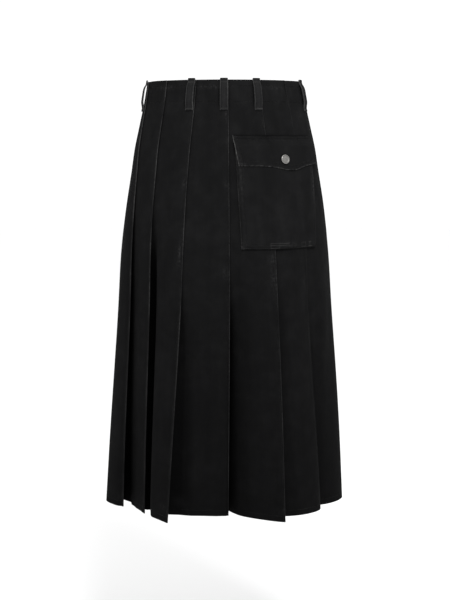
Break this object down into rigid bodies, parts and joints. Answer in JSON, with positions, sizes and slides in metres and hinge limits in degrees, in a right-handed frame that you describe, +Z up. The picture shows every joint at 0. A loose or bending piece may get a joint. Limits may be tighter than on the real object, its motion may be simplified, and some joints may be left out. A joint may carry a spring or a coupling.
{
  "type": "pleated maxi skirt",
  "caption": "Long knife-pleated denim skirt, worn and hollow, with belt loops at its waist and, at the back, a cargo pocket closed by a flap and a metal snap.",
  "frame": {"origin": "middle of the waist opening, 20 mm below the top edge, where the wearer's waist holds the skirt", "axes": "+Z up along the skirt, its back towards -Y, the wearer's right towards +X"},
  "size_m": [0.441, 0.3335, 0.7715],
  "materials": {
    "denim": "washed black twill, rubbed lighter along the stitched edges",
    "metal": "antique nickel, satin"
  },
  "bodies": {
    "root": {"pleat_panel_01": "denim", "pleat_panel_02": "denim", "pleat_panel_03": "denim", "pleat_panel_04": "denim", "pleat_panel_05": "denim", "pleat_panel_06": "denim", "pleat_panel_07": "denim", "pleat_panel_08": "denim", "pleat_panel_09": "denim", "pleat_panel_10": "denim", "pleat_panel_11": "denim", "pleat_panel_12": "denim", "pleat_panel_13": "denim", "pleat_panel_14": "denim", "belt_loop_side_left": "denim", "belt_loop_back_left": "denim", "belt_loop_back_centre": "denim", "belt_loop_back_right": "denim", "belt_loop_side_right": "denim", "belt_loop_front_right": "denim", "belt_loop_front_left": "denim", "cargo_pocket": "denim", "pocket_flap": "denim", "flap_snap": "metal", "waist_button": "metal"}
  },
  "joints": []
}
